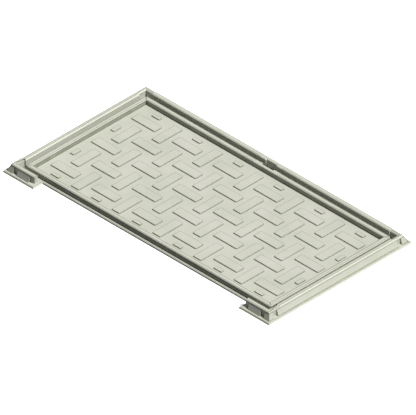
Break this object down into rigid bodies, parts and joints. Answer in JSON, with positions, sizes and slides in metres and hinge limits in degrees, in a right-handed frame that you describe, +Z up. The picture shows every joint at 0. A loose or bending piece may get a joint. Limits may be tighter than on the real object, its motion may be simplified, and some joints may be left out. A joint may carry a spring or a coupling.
{
  "type": "recessed manhole cover and frame",
  "caption": "Shallow rectangular tray cover with a raised basket-weave tread, resting in a low walled frame that is open along one long side.",
  "frame": {"origin": "middle of the bedding face, at the bottom of the frame's box", "axes": "+X along the length, +Y towards the back wall, +Z up, out of the ground"},
  "size_m": [1.3, 0.7, 0.034],
  "materials": {
    "cover_coating": "matt pale stone coating on metal",
    "frame_coating": "matt pale stone coating on metal",
    "seat_rubber": "matt black rubber",
    "fastener_steel": "plain steel"
  },
  "bodies": {
    "frame": {"back_left_corner": "frame_coating", "back_rail": "frame_coating", "back_right_corner": "frame_coating", "back_seat_strip": "seat_rubber", "front_left_stub": "frame_coating", "front_right_stub": "frame_coating", "front_seat_strip": "seat_rubber", "front_sill_plate": "frame_coating", "joint_dowels": "fastener_steel", "left_rail": "frame_coating", "left_seat_strip": "seat_rubber", "right_rail": "frame_coating", "right_seat_strip": "seat_rubber", "sill_screws": "fastener_steel"},
    "cover": {"back_rim_bar": "cover_coating", "cross_stiffener_1": "cover_coating", "cross_stiffener_2": "cover_coating", "cross_stiffener_3": "cover_coating", "cross_stiffener_4": "cover_coating", "cross_stiffener_5": "cover_coating", "cross_stiffener_6": "cover_coating", "cross_stiffener_7": "cover_coating", "front_rim_bar": "cover_coating", "left_rim_bar": "cover_coating", "right_rim_bar": "cover_coating", "tread_plate": "cover_coating"}
  },
  "joints": [
    {"name": "cover_lift", "type": "slide", "parent": "frame", "child": "cover", "axis": [0, 0, 1], "range_m": [0, 0.25]}
  ]
}
